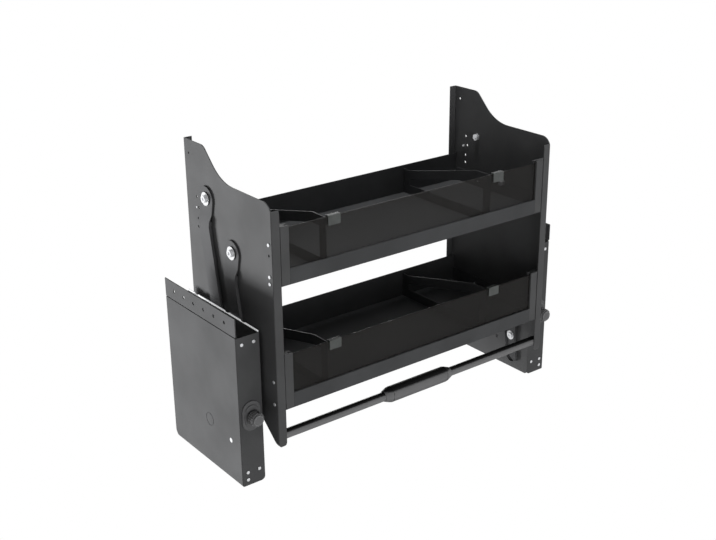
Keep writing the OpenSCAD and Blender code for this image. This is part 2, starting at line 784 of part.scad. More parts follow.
// Plan of a folded channel with rounded outer corners, open towards the middle
module rounded_edge(x1, inset, r) {
    y1 = plate_d - inset;
    if (r <= 0) translate([0, inset]) square([x1, y1 - inset]);
    else {
        translate([0, inset]) square([x1 - r, y1 - inset]);
        translate([0, inset + r]) square([x1, y1 - inset - 2 * r]);
        for (y = [inset + r, y1 - r]) translate([x1 - r, y]) circle(r = r);
    }
}

module pivot_bolts() {
    head_d = washer_d * 0.56;
    head_x = head_in + arm_t + gap * 3 + plate_t / 2;
    for (s = [1, -1]) on_side(s) color(silver) for (p = [top_front, top_rear]) {
        rod_x(p, bolt_d, side_in - bolt_d, head_x);
        difference() {
            rod_x(p, head_d, head_x, head_x + head_d / 3.5);
            rod_x(p, head_d * 0.45, head_x + head_d / 7, big, $fn = 6);
        }
        translate([side_in - bolt_d * 0.8, p[0], p[1]]) rotate([0, 90, 0])
            cylinder(d = nut_across, h = bolt_d * 0.8, $fn = 6);
    }
}

module pivot_washers() {
    x0 = head_in + arm_t + gap * 3;
    for (s = [1, -1]) on_side(s) color(silver) for (p = [top_front, top_rear]) difference() {
        rod_x(p, washer_d, x0, x0 + plate_t / 2);
        rod_x(p, bolt_d, 0, big);
    }
}

// A tray: floor, front rail, glass stop, side walls and back wall
module tray(z) {
    side = side_in - gap / 2;
    color(steel_grey) framed() difference() {
        union() {
            block(-fold_in + gap, fold_in - gap, post_face, tray_d, z, z + sheet_t);
            block(-side, side, plate_t + gap, tray_d, z, z + sheet_t);
            block(-rail_out, rail_out, post_face, post_face + sheet_t, z, z + rail_h);
            block(-rail_out, rail_out, post_face, glass_y - gap / 2,
                z + rail_h - sheet_t, z + rail_h);
            block(-rail_out, rail_out, glass_y + glass_t + gap, glass_y + glass_t + gap + sheet_t,
                z, z + rail_h / 3);
            block(-side, side, tray_d - sheet_t, tray_d, z, z + back_h);
            for (s = [0, 1]) mirror([s, 0, 0])
                block(side - sheet_t, side, post_d + plate_t, tray_d, z, z + rail_h);
        }
        for (s = [0, 1]) mirror([s, 0, 0]) {
            for (p = rear_screws) rod_x(p, screw_shank_d, side - 2 * sheet_t, side_x);
            for (p = [top_front, top_rear])
                rod_x(p, nut_across + 2 * gap, side - 2 * sheet_t, side_x);
        }
    }
}

module tray_posts(z) {
    side = side_in - gap / 2;
    for (s = [1, -1]) on_side(s) color(steel_grey) difference() {
        union() {
            block(post_in, post_out, post_face, post_d, z + sheet_t, z + post_h);
            block(post_in, side, plate_t + gap, post_d, z + sheet_t, z + post_h);
        }
        block(post_in - over, post_in + groove_l, glass_y - gap / 2, glass_y - gap / 2 + groove_w,
            z, z + post_h + over);
        for (p = front_screws) rod_x(p, screw_shank_d, 0, big);
    }
}

module glass_front(z) {
    color(smoked) framed()
        block(-glass_half, glass_half, glass_y, glass_y + glass_t, z + sheet_t, z + glass_h);
}

// Pan heads in front, flush heads at the back, which the arms pass
module tray_screws() {
    head_d = screw_shank_d * 1.6;
    for (s = [1, -1]) on_side(s) color(silver) {
        for (p = front_screws) {
            rod_x(p, head_d, side_x, side_x + plate_t * 0.6);
            rod_x(p, screw_shank_d, side_in - post_d, side_x);
        }
        for (p = rear_screws) rod_x(p, screw_shank_d, side_in - sheet_t * 3, side_x);
    }
}

module handle_bar() {
    color(steel_grey) framed() rod_x([bar_y, bar_z], bar_d, -side_in, side_in);
}

// Sleeve with a groove at each end and a tapered nose
module handle_grip() {
    half = grip_l / 2;
    groove = sheet_t;
    r = grip_d / 2;
    color(rubber_black) framed() translate([0, bar_y, bar_z]) rotate([0, 90, 0])
        rotate_extrude() polygon([
            [bar_d / 2, -half], [bar_d / 2 + groove, -half], [r - groove, -half + grip_end * 0.7],
            [r, -half + grip_end], [r - groove, -half + grip_end],
            [r - groove, -half + grip_end + groove], [r, -half + grip_end + groove],
            [r, half - grip_end - groove], [r - groove, half - grip_end - groove],
            [r - groove, half - grip_end], [r, half - grip_end],
            [r - groove, half - grip_end * 0.7], [bar_d / 2 + groove, half], [bar_d / 2, half]]);
}

// Sliding dividers: a sheet with a long window, and a clip over the glass

module divider(x, z) {
    foot = z + sheet_t + gap;
    floor_y = glass_y + glass_t + gap + sheet_t + gap;
    rim = divider_h * 0.2;
    rear = back_h * 0.85;
    color(dark_grey) framed() slab(x - divider_t / 2, x + divider_t / 2) difference() {
        polygon([[floor_y, foot], [divider_y1, foot], [divider_y1, foot + rear],
            [divider_y1 - rim, foot + rear], [divider_y0 + rim * 2, foot + divider_h],
            [divider_y0, foot + divider_h], [divider_y0, foot + rail_h / 3 + rim],
            [floor_y, foot + rail_h / 3]]);
        polygon([[floor_y + rim, foot + rim], [divider_y1 - rim, foot + rim],
            [divider_y1 - rim, foot + rear - rim], [divider_y0 + rim * 2, foot + divider_h - rim],
            [floor_y + rim, foot + divider_h - rim]]);
    }
}

module clip(x, z) {
    top = z + glass_h + gap;
    low = top - clip_h;
    color(pale) framed() {
        x0 = x - divider_t / 2;
        block(x0, x0 + clip_w, glass_y - gap - clip_t, glass_y - gap, low, top + clip_t);
        block(x0, x0 + clip_w, glass_y - gap, glass_y + glass_t + gap, top, top + clip_t);
        block(x0, x0 + clip_w, glass_y + glass_t + gap, divider_y0, low, top + clip_t);
    }
}

mounting_plate(-1);  // left_mounting_plate
mounting_plate(1);  // right_mounting_plate
housing_cover(-1);  // left_housing_cover
housing_cover(1);  // right_housing_cover
inner_plate(-1);  // left_inner_plate
inner_plate(1);  // right_inner_plate
housing_spacers();
housing_rivets();
shaft_bushes();
rotary_dampers();
stop_buffers();
knob_plate(-1);  // left_knob_plate
knob_plate(1);  // right_knob_plate
arm(-1, low_rear, false);  // left_rear_arm
arm(-1, low_front, true);  // left_front_arm
arm(1, low_rear, false);  // right_rear_arm
arm(1, low_front, true);  // right_front_arm
arm_shaft(-1, low_rear);  // left_rear_shaft
arm_shaft(-1, low_front);  // left_front_shaft
arm_shaft(1, low_rear);  // right_rear_shaft
arm_shaft(1, low_front);  // right_front_shaft
crank(-1);  // left_crank
crank(1);  // right_crank
arm_bolt(-1, low_rear);  // left_rear_arm_bolt
arm_bolt(-1, low_front);  // left_front_arm_bolt
arm_bolt(1, low_rear);  // right_rear_arm_bolt
arm_bolt(1, low_front);  // right_front_arm_bolt
arm_bush(-1, low_rear);  // left_rear_bush
arm_bush(-1, low_front);  // left_front_bush
arm_bush(1, low_rear);  // right_rear_bush
arm_bush(1, low_front);  // right_front_bush
spring(-1);  // left_spring
spring(1);  // right_spring
tension_knob(-1);  // left_tension_knob
tension_knob(1);  // right_tension_knob
tension_screw(-1);  // left_tension_screw
tension_screw(1);  // right_tension_screw
tension_nut(-1);  // left_tension_nut
tension_nut(1);  // right_tension_nut
side_plate(-1);  // left_side_plate
side_plate(1);  // right_side_plate
pivot_bolts();
pivot_washers();
tray(upper_tray_z);  // upper_tray
tray(lower_tray_z);  // lower_tray
tray_posts(upper_tray_z);  // upper_tray_posts
tray_posts(lower_tray_z);  // lower_tray_posts
glass_front(upper_tray_z);  // upper_glass
glass_front(lower_tray_z);  // lower_glass
tray_screws();
handle_bar();
handle_grip();
divider(upper_left_x, upper_tray_z);  // upper_left_divider
divider(upper_right_x, upper_tray_z);  // upper_right_divider
divider(lower_left_x, lower_tray_z);  // lower_left_divider
divider(lower_right_x, lower_tray_z);  // lower_right_divider
clip(upper_left_x, upper_tray_z);  // upper_left_clip
clip(upper_right_x, upper_tray_z);  // upper_right_clip
clip(lower_left_x, lower_tray_z);  // lower_left_clip
clip(lower_right_x, lower_tray_z);  // lower_right_clip
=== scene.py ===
"""Dresses the pull-down rack: soft sheet edges, fasteners, knobs, springs, glass and finishes."""

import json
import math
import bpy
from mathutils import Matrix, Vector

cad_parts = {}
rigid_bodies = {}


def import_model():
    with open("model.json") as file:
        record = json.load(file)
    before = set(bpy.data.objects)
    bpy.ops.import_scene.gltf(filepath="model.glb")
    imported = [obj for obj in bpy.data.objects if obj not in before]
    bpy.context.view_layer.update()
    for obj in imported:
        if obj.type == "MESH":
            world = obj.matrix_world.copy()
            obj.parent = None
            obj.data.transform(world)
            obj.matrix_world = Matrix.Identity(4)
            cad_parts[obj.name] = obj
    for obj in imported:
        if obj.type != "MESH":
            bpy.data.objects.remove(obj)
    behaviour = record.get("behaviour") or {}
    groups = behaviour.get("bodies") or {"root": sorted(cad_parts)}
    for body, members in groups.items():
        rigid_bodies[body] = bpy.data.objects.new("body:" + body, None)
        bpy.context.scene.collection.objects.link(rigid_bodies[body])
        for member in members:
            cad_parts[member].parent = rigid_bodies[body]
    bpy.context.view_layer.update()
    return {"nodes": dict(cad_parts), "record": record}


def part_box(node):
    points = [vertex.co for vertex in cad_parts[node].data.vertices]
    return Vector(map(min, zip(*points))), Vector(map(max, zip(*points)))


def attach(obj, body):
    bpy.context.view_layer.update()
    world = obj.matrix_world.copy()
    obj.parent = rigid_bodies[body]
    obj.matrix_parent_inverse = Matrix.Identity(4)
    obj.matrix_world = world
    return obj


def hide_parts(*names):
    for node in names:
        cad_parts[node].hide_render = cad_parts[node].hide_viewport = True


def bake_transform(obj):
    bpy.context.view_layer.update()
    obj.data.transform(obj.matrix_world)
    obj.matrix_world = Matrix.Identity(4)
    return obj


bl_info = {
    "name": "Pull-down rack",
    "version": (1, 0, 0),
    "blender": (4, 5, 0),
    "location": "3D View > Sidebar > Rack",
    "description": "Builds the visible pieces of a pull-down cabinet rack around its CAD frame",
    "category": "Object",
}

import bmesh
import bpy
from mathutils import Matrix, Vector

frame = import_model()
RECORD = frame["record"]
BODY_OF = {node: body for body, nodes in RECORD["behaviour"]["bodies"].items() for node in nodes}
SIDES = ("left", "right")
LEVELS = ("upper", "lower")
ALONG_Y = (math.pi / 2, 0, 0)
SENSOR_WIDTH = 36
THREAD_PITCH = 0.001

# Above this height the upper edge of an inner plate is bare zinc, and glows faintly as a painted
# highlight
BARE_GLOW_EDGE_Z = 0.2948

# The balance springs: the coil stands clear of the nut's travel, its nut end stays in the housing,
# and a plug on the nut reaches into it
CURLS = 12
RINGS_A_CURL = 24
COIL_RADIUS = 0.0063
COIL_NUT_GAP = 0.0086
COIL_NUT_Z = 0.1533
COIL_CRANK_Z = 0.1467
PLUG_REACH = 0.004
PLUG_HEAD_RADIUS = 0.0028
PLUG_HEAD_LENGTH = 0.003

# The knobs: flutes are pressed in two of every four edges of the rim
RIM_EDGES = 72
FLUTE_EDGES = 4
CAP_DEPTH = 0.0016

# Lamps: name, place, what they aim at, width, share of the key lamp's power, and
# whether gloss shows them
MIDDLE = (0, 0, 0.28)
LAMPS = (
    ("key_lamp", (-1.9, 3.4, -1.15), (-0.3, 0, 0.28), 1.05, 1, False),
    ("front_lamp", (-0.35, -3.0, 0.3), MIDDLE, 1.6, 0.052, True),
    ("right_lamp", (2.8, -0.4, 0.4), MIDDLE, 1.6, 0.03, True),
    ("rear_lamp", (1.6, 3.0, 0.3), MIDDLE, 1.6, 0.08, True),
    ("top_lamp", (0, 0.05, 3.2), (0, 0.05, 0), 0.8, 0.07, False),
)

# Cards in the plane of the left side plate that only cast shadow: name and two corners
FLAGS = (
    ("rear_flag", (-0.326, 0.14, -0.38), (-0.325, 1.7, 1.4)),
    ("upper_flag", (-0.326, -0.5, 0.6), (-0.325, 0.14, 1.4)),
)


# Sizes and colours that a user would change


class RackColours(bpy.types.PropertyGroup):
    """Colours of the rack's finishes"""

    plate: bpy.props.FloatVectorProperty(
        name="Side plates", description="Powder coat of the carriage's side plates",
        subtype="COLOR", size=3, min=0, max=1, default=(0.111, 0.112, 0.114))
    tray: bpy.props.FloatVectorProperty(
        name="Trays", description="Powder coat of the trays and dividers",
        subtype="COLOR", size=3, min=0, max=1, default=(0.085, 0.087, 0.09))
    housing: bpy.props.FloatVectorProperty(
        name="Housings", description="Powder coat of the mechanism housings",
        subtype="COLOR", size=3, min=0, max=1, default=(0.093, 0.094, 0.096))
    arm: bpy.props.FloatVectorProperty(
        name="Arms", description="Powder coat of the swing arms",
        subtype="COLOR", size=3, min=0, max=1, default=(0.1, 0.101, 0.104))
    bar: bpy.props.FloatVectorProperty(
        name="Handle", description="Powder coat of the handle bar",
        subtype="COLOR", size=3, min=0, max=1, default=(0.25, 0.25, 0.254))
    glass: bpy.props.FloatVectorProperty(
        name="Glass", description="Tint of the smoked glass",
        subtype="COLOR", size=3, min=0, max=1, default=(0.03, 0.0285, 0.027))
    clip: bpy.props.FloatVectorProperty(
        name="Clips", description="Translucent plastic of the divider clips",
        subtype="COLOR", size=3, min=0, max=1, default=(0.13, 0.14, 0.135))


class RackSizes(bpy.types.PropertyGroup):
    """Small sizes that the CAD solids leave out"""

    sheet_edge: bpy.props.FloatProperty(
        name="Sheet edge", description="Rounding of cut sheet edges",
        unit="LENGTH", min=0.0001, max=0.001, default=0.0004)
    arm_edge: bpy.props.FloatProperty(
        name="Arm edge", description="Rounding of the pressed arms",
        unit="LENGTH", min=0.0002, max=0.0015, default=0.0007)
    glass_edge: bpy.props.FloatProperty(
        name="Glass edge", description="Ground arris of the glass",
        unit="LENGTH", min=0.0002, max=0.0015, default=0.0007)
    flute_depth: bpy.props.FloatProperty(
        name="Flute depth", description="Depth of the flutes on the knobs",
        unit="LENGTH", min=0.0002, max=0.002, default=0.0009)
    wire: bpy.props.FloatProperty(
        name="Spring wire", description="Wire diameter of the balance springs",
        unit="LENGTH", min=0.001, max=0.003, default=0.0024)


class RackStage(bpy.types.PropertyGroup):
    """Floor, lamps and camera"""

    floor_z: bpy.props.FloatProperty(
        name="Floor", description="Height of the floor, below the lowered carriage",
        unit="LENGTH", default=-0.42)
    place: bpy.props.FloatVectorProperty(
        name="Camera", description="Place of the camera",
        subtype="TRANSLATION", size=3, default=(-1.28889, -1.63258, 1.12697))
    turn: bpy.props.FloatVectorProperty(
        name="Camera turn", description="Heading to the right of +Y, fall and roll of the camera",
        subtype="EULER", size=3,
        default=(math.radians(37.3488), math.radians(21.8029), math.radians(-0.5364)))
    lens: bpy.props.FloatProperty(
        name="Lens", description="Focal length on a 36 mm sensor",
        unit="CAMERA", default=57.6)
    key: bpy.props.FloatProperty(
        name="Key lamp", description="Power of the large low lamp behind the left side",
        unit="POWER", min=0, default=540)
    fill: bpy.props.FloatProperty(
        name="Sky", description="Strength of the even light from all round",
        min=0, max=1, default=0.05)
    glow: bpy.props.FloatProperty(
        name="Glow", description="Strength of the light that the floor sends up",
        min=0, max=2, default=0.3)


# Shader values that Python arithmetic works on


class Value:
    """A shader socket that can be added, subtracted, multiplied and divided"""

    def __init__(self, finish, socket):
        self.finish, self.socket = finish, socket

    def _math(self, operation, first, second):
        return self.finish.node("ShaderNodeMath", {"operation": operation}, {0: first, 1: second})

    def __add__(self, other):
        return self._math("ADD", self, other)

    def __radd__(self, other):
        return self._math("ADD", other, self)

    def __sub__(self, other):
        return self._math("SUBTRACT", self, other)

    def __rsub__(self, other):
        return self._math("SUBTRACT", other, self)

    def __mul__(self, other):
        return self._math("MULTIPLY", self, other)

    def __truediv__(self, other):
        return self._math("DIVIDE", self, other)

    def __gt__(self, other):
        return self._math("GREATER_THAN", self, other)

    def wave(self):
        return self._math("SINE", self, 0)


class Finish:
    """One material, built on the standard surface shader"""

    def __init__(self, name, **plain):
        self.material = bpy.data.materials.new(name)
        self.material.use_nodes = True
        self.tree = self.material.node_tree
        self.surface = self.tree.nodes["Principled BSDF"]
        self.place = self.node("ShaderNodeTexCoord", output="Object")
        for socket, value in plain.items():
            self.set(socket.replace("_", " ").title().replace("Ior", "IOR"), value)

    def node(self, kind, settings=None, sockets=None, output=0):
        made = self.tree.nodes.new(kind)
        for key, value in (settings or {}).items():
            setattr(made, key, value)
        for key, value in (sockets or {}).items():
            self._feed(made.inputs[key], value)
        return Value(self, made.outputs[output])

    def _feed(self, socket, value):
        if isinstance(value, Value):
            self.tree.links.new(value.socket, socket)
        else:
            socket.default_value = value

    def set(self, socket, value):
        if socket in ("Base Color", "Emission Color") and not isinstance(value, Value):
            value = (*value, 1)
        self._feed(self.surface.inputs[socket], value)

    def noise(self, scale, detail, stretch=None):
        place = self.place
        if stretch:
            place = self.node("ShaderNodeMapping", sockets={"Vector": place, "Scale": stretch})
        return self.node("ShaderNodeTexNoise",
                         sockets={"Vector": place, "Scale": scale, "Detail": detail})

    def axis(self, letter):
        return self.node("ShaderNodeSeparateXYZ", sockets={"Vector": self.place}, output=letter)

    def mix(self, share, low, high):
        ends = [c if isinstance(c, Value) else (*c, 1) for c in (low, high)]
        sockets = {0: share, 6: ends[0], 7: ends[1]}
        return self.node("ShaderNodeMix", {"data_type": "RGBA"}, sockets, output=2)

    def ramp(self, value, low, high):
        return self.node("ShaderNodeMapRange",
                         sockets={"Value": value, "From Min": low, "From Max": high})

    def cloudy(self, cloud, low, high, dark, light):
        """Colours the surface from dark to light with the noise between low and high"""
        self.set("Base Color", self.mix(self.ramp(cloud, low, high), dark, light))

    def bump(self, height, strength, distance):
        self.set("Normal", self.node("ShaderNodeBump", sockets={
            "Height": height, "Strength": strength, "Distance": distance}))


def lighter(colour, share):
    return tuple(min(1, c * share) for c in colour)


def powder_coat(name, colour, rough=0.52, bare_glow_above=None):
    """Satin powder coat with a fine grain; above the given height the sheet is bare zinc that
    glows faintly as a painted highlight
    """
    finish = Finish(name, metallic=0.0, specular_ior_level=0.08)
    grain = finish.noise(1300, 3)
    speck = finish.noise(5200, 1)
    cloud = finish.noise(11, 4)
    shade = finish.ramp(cloud + (speck - 0.5) * 0.35, 0.3, 0.72)
    coat = finish.mix(shade, lighter(colour, 0.86), lighter(colour, 1.14))
    matt = rough + (cloud - 0.5) * 0.16 + (grain - 0.5) * 0.1
    if bare_glow_above is not None:
        bare_glow = finish.axis("Z") > bare_glow_above
        coat = finish.mix(bare_glow, coat, (0.78, 0.79, 0.8))
        matt = matt * (1 - bare_glow) + bare_glow * 0.3
        # Painted highlight: the bare band glows, standing in for the light caught along the cut
        # edge
        finish.set("Emission Color", finish.mix(bare_glow, (0, 0, 0), (0.7, 0.71, 0.72)))
        finish.set("Emission Strength", 0.6)
    finish.set("Base Color", coat)
    finish.set("Roughness", matt)
    finish.bump(grain + speck * 0.5, 0.22, 0.00018)
    return finish.material


def round_bar(name, colour, rough, node):
    """A round bar along X whose coat has painted shade: darker along its top and its underside"""
    low, high = (Vector(c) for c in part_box(node))
    finish = Finish(name, metallic=0.0, specular_ior_level=0.08)
    height = (finish.axis("Z") - (low.z + high.z) / 2) / ((high.z - low.z) / 2)
    grain = finish.noise(900, 3)
    cloud = finish.noise(14, 3)
    coat = finish.mix(finish.ramp(cloud, 0.3, 0.7), lighter(colour, 0.94), lighter(colour, 1.06))
    # Painted shade: the coat darkens towards the top and towards the underside
    above = finish.ramp(height, 0.56, 0.74)
    below = finish.ramp(height * -1, 0.1, 0.95)
    coat = finish.mix(below * 0.75, coat, (0.03, 0.03, 0.031))
    finish.set("Base Color", finish.mix(above, coat, (0.008, 0.008, 0.008)))
    finish.set("Roughness", rough + (cloud - 0.5) * 0.12)
    finish.bump(grain, 0.2, 0.0002)
    return finish.material


def plated(name, colour=(0.87, 0.88, 0.9), rough=0.3):
    """Bright zinc plate with faint drawing lines and cloudy spangle"""
    finish = Finish(name, metallic=0.4)
    lines = finish.noise(420, 3, stretch=(0.08, 1, 1))
    cloud = finish.noise(60, 3)
    finish.cloudy(cloud, 0.3, 0.7, lighter(colour, 0.88), colour)
    finish.set("Roughness", rough + (cloud - 0.5) * 0.2 + (lines - 0.5) * 0.12)
    finish.bump(lines, 0.08, 0.0001)
    return finish.material


def threaded(name):
    """Plated screw with its thread along Y"""
    finish = Finish(name, metallic=1.0)
    thread = (finish.axis("Y") * (math.tau / THREAD_PITCH)).wave()
    cloud = finish.noise(90, 3)
    finish.cloudy(cloud, 0.3, 0.7, (0.55, 0.56, 0.57), (0.7, 0.71, 0.72))
    finish.set("Roughness", 0.3 + cloud * 0.1)
    finish.bump(thread, 0.5, 0.0003)
    return finish.material


def moulded(name, colour, rough=0.42, grain_scale=900):
    """Moulded plastic with a spark-eroded grain"""
    finish = Finish(name, specular_ior_level=0.1)
    grain = finish.noise(grain_scale, 3)
    cloud = finish.noise(24, 3)
    finish.cloudy(cloud, 0.3, 0.7, lighter(colour, 0.9), lighter(colour, 1.1))
    finish.set("Roughness", rough + (grain - 0.5) * 0.14 + (cloud - 0.5) * 0.08)
    finish.bump(grain, 0.16, 0.0002)
    return finish.material


def rubber(name, colour):
    """Soft rubber with a dull, slightly dusty skin"""
    finish = Finish(name, specular_ior_level=0.1)
    grain = finish.noise(700, 4)
    dust = finish.noise(35, 4)
    finish.cloudy(dust, 0.45, 0.8, colour, lighter(colour, 1.5))
    finish.set("Roughness", 0.62 + (dust - 0.5) * 0.2)
    finish.bump(grain, 0.3, 0.00025)
    return finish.material


def smoked_glass(name, colour):
    """Dark tinted glass, a little uneven in its polish"""
    finish = Finish(name, alpha=0.5, specular_ior_level=0.1, ior=1.5)
    smear = finish.noise(7, 4)
    finish.cloudy(smear, 0.3, 0.7, colour, lighter(colour, 1.25))
    finish.set("Roughness", 0.05 + finish.ramp(smear, 0.5, 0.9) * 0.06)
    return finish.material


def clear_plastic(name, colour):
    """Pale translucent plastic"""
    finish = Finish(name, alpha=0.78, specular_ior_level=0.3)
    cloud = finish.noise(70, 3)
    finish.cloudy(cloud, 0.3, 0.7, lighter(colour, 0.88), lighter(colour, 1.1))
    finish.set("Roughness", 0.24 + (cloud - 0.5) * 0.12)
    finish.bump(cloud, 0.05, 0.0004)
    return finish.material


FINISHES = {}


def finish_of(name):
    """The named finish, made when it is first asked for"""
    if name not in FINISHES:
        colours = bpy.context.scene.rack_colours
        makers = {
            "plate_coat": lambda: powder_coat(name, colours.plate),
            "inner_plate_coat": lambda: powder_coat(name, colours.plate, bare_glow_above=BARE_GLOW_EDGE_Z),
            "tray_coat": lambda: powder_coat(name, colours.tray, 0.5),
            "housing_coat": lambda: powder_coat(name, colours.housing),
            "flange_coat": lambda: powder_coat(name, colours.housing, 0.48),
            "arm_coat": lambda: powder_coat(name, colours.arm, 0.44),
            "bar_coat": lambda: round_bar(name, colours.bar, 0.4, "handle_bar"),
            "divider_coat": lambda: powder_coat(name, lighter(colours.tray, 0.9), 0.5),
            "zinc": lambda: plated(name),
            "spring_steel": lambda: plated(name, (0.5, 0.51, 0.53), 0.34),
            "cap_steel": lambda: plated(name, (0.82, 0.83, 0.84), 0.2),
            "thread": lambda: threaded(name),
            "nylon": lambda: moulded(name, (0.72, 0.72, 0.68), 0.45),
            "damper": lambda: moulded(name, (0.02, 0.02, 0.021), 0.4),
            "knob_plastic": lambda: moulded(name, (0.19, 0.191, 0.194), 0.45),
            "knob_plate_plastic": lambda: moulded(name, (0.15, 0.151, 0.154), 0.42),
            "buffer_rubber": lambda: rubber(name, (0.012, 0.012, 0.012)),
            "grip_rubber": lambda: round_bar(name, lighter(colours.bar, 0.95), 0.6, "handle_grip"),
            "smoked_glass": lambda: smoked_glass(name, colours.glass),
            "clip_plastic": lambda: clear_plastic(name, colours.clip),
        }
        FINISHES[name] = makers[name]()
    return FINISHES[name]


# Modelling helpers


def focus(*pieces):
    """Selects only these objects, in object mode"""
    if bpy.context.mode != "OBJECT":
        bpy.ops.object.mode_set(mode="OBJECT")
    bpy.ops.object.select_all(action="DESELECT")
    for piece in pieces:
        piece.select_set(True)
    if pieces:
        bpy.context.view_layer.objects.active = pieces[-1]


def named(name):
    """The object that was just added, under its name and with its place in its mesh"""
    piece = bpy.context.object
    piece.name = piece.data.name = name
    bpy.ops.object.transform_apply(location=True, rotation=True, scale=True)
    return piece


def disc(name, radius, depth, centre, turn=(0, 0, 0), vertices=48):
    """A closed cylinder about centre"""
    focus()
    bpy.ops.mesh.primitive_cylinder_add(vertices=vertices, radius=radius, depth=depth,
                                        location=centre, rotation=turn)
    return named(name)


def slab(name, low, high):
    """A closed box between two corners"""
    focus()
    bpy.ops.mesh.primitive_cube_add(size=1, location=(Vector(low) + Vector(high)) / 2)
    bpy.context.object.scale = Vector(high) - Vector(low)
    return named(name)


def apply(piece, kind, **settings):
    """Adds one modifier and applies it"""
    focus(piece)
    modifier = piece.modifiers.new(kind.title(), kind)
    for key, value in settings.items():
        setattr(modifier, key, value)
    bpy.ops.object.modifier_apply(modifier=modifier.name)


def soften(piece, width, segments=2, angle=35):
    """Rounds the sharp edges and shades the rest smooth"""
    apply(piece, "BEVEL", width=width, segments=segments, limit_method="ANGLE",
          angle_limit=math.radians(angle), use_clamp_overlap=True, harden_normals=False)
    focus(piece)
    bpy.ops.object.shade_smooth_by_angle(angle=math.radians(angle))
    apply(piece, "WEIGHTED_NORMAL", keep_sharp=True, weight=90)


def pick(piece, test):
    """Edit mode on piece, with the faces selected whose centre and normal pass the test"""
    focus(piece)
    bpy.ops.object.mode_set(mode="EDIT")
    bpy.ops.mesh.select_mode(type="FACE")
    bpy.ops.mesh.select_all(action="DESELECT")
    mesh = bmesh.from_edit_mesh(piece.data)
    for face in mesh.faces:
        face.select_set(bool(test(face.calc_center_median(), face.normal)))
    bmesh.update_edit_mesh(piece.data)


def done():
    """Back to object mode"""
    bpy.ops.object.mode_set(mode="OBJECT")


def join(name, pieces):
    """One object of several"""
    focus(*pieces)
    bpy.ops.object.join()
    bpy.context.object.name = bpy.context.object.data.name = name
    return bpy.context.object


def sheet_of(node, name, width, segments=2, angle=35):
    """A copy of a CAD node with whole faces and softened edges"""
    focus(frame["nodes"][node])
    bpy.ops.object.duplicate()
    piece = bpy.context.object
    bpy.ops.object.parent_clear(type="CLEAR_KEEP_TRANSFORM")
    named(name)
    bpy.ops.object.mode_set(mode="EDIT")
    bpy.ops.mesh.select_all(action="SELECT")
    bpy.ops.mesh.remove_doubles(threshold=0.00001)
    bpy.ops.mesh.dissolve_limited(angle_limit=math.radians(0.4))
    done()
    soften(piece, width, segments, angle)
    return piece


def dress(piece, node, finish, stands=True, rides=True):
    """Gives a piece its finish and body, and lets it stand for its CAD node"""
    piece.data.materials.clear()
    piece.data.materials.append(finish_of(finish))
    if rides:
        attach(piece, BODY_OF[node])
    if stands:
        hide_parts(node)
    return piece


def coat(node, finish):
    """A CAD node that stays gets its finish"""
    mesh = frame["nodes"][node].data
    mesh.materials.clear()
    mesh.materials.append(finish_of(finish))


# Operators, one for each group of pieces


class RackPiece:
    """What every operator of the rack shares"""

    bl_options = {"REGISTER", "UNDO"}

    def execute(self, context):
        self.build(context.scene)
        return {"FINISHED"}


class RACK_OT_housings(RackPiece, bpy.types.Operator):
    """Covers, mounting plates and inner plates with softened sheet edges"""

    bl_idname = "rack.housings"
    bl_label = "Housings"

    def build(self, scene):
        edge = scene.rack_sizes.sheet_edge
        for side in SIDES:
            for part, finish in (("housing_cover", "housing_coat"),
                                 ("mounting_plate", "flange_coat"),
                                 ("inner_plate", "inner_plate_coat")):
                node = f"{side}_{part}"
                dress(sheet_of(node, node + "_sheet", edge), node, finish)


class RACK_OT_rivets(RackPiece, bpy.types.Operator):
    """Domed rivet heads on the housing fronts, the flush cover screws and the spacers"""

    bl_idname = "rack.rivets"
    bl_label = "Rivets"

    def build(self, scene):
        heads = sheet_of("housing_rivets", "housing_rivet_heads", 0.0009, segments=4, angle=60)
        dress(heads, "housing_rivets", "zinc")
        coat("housing_spacers", "zinc")


class RACK_OT_mechanism(RackPiece, bpy.types.Operator):
    """Bushes, dampers, buffers, shafts, cranks and nuts inside the housings"""

    bl_idname = "rack.mechanism"
    bl_label = "Mechanism"

    def build(self, scene):
        coat("shaft_bushes", "nylon")
        cases = sheet_of("rotary_dampers", "rotary_damper_cases", 0.0012, segments=3)
        dress(cases, "rotary_dampers", "damper")
        studs = sheet_of("stop_buffers", "stop_buffer_studs", 0.0012, segments=3)
        dress(studs, "stop_buffers", "buffer_rubber")
        for side in SIDES:
            for end in ("rear", "front"):
                coat(f"{side}_{end}_shaft", "zinc")
                coat(f"{side}_{end}_bush", "nylon")
            node = side + "_crank"
            dress(sheet_of(node, node + "_lever", 0.0006), node, "zinc")
            node = side + "_tension_nut"
            dress(sheet_of(node, node + "_block", 0.0006), node, "zinc")
            coat(side + "_tension_screw", "thread")


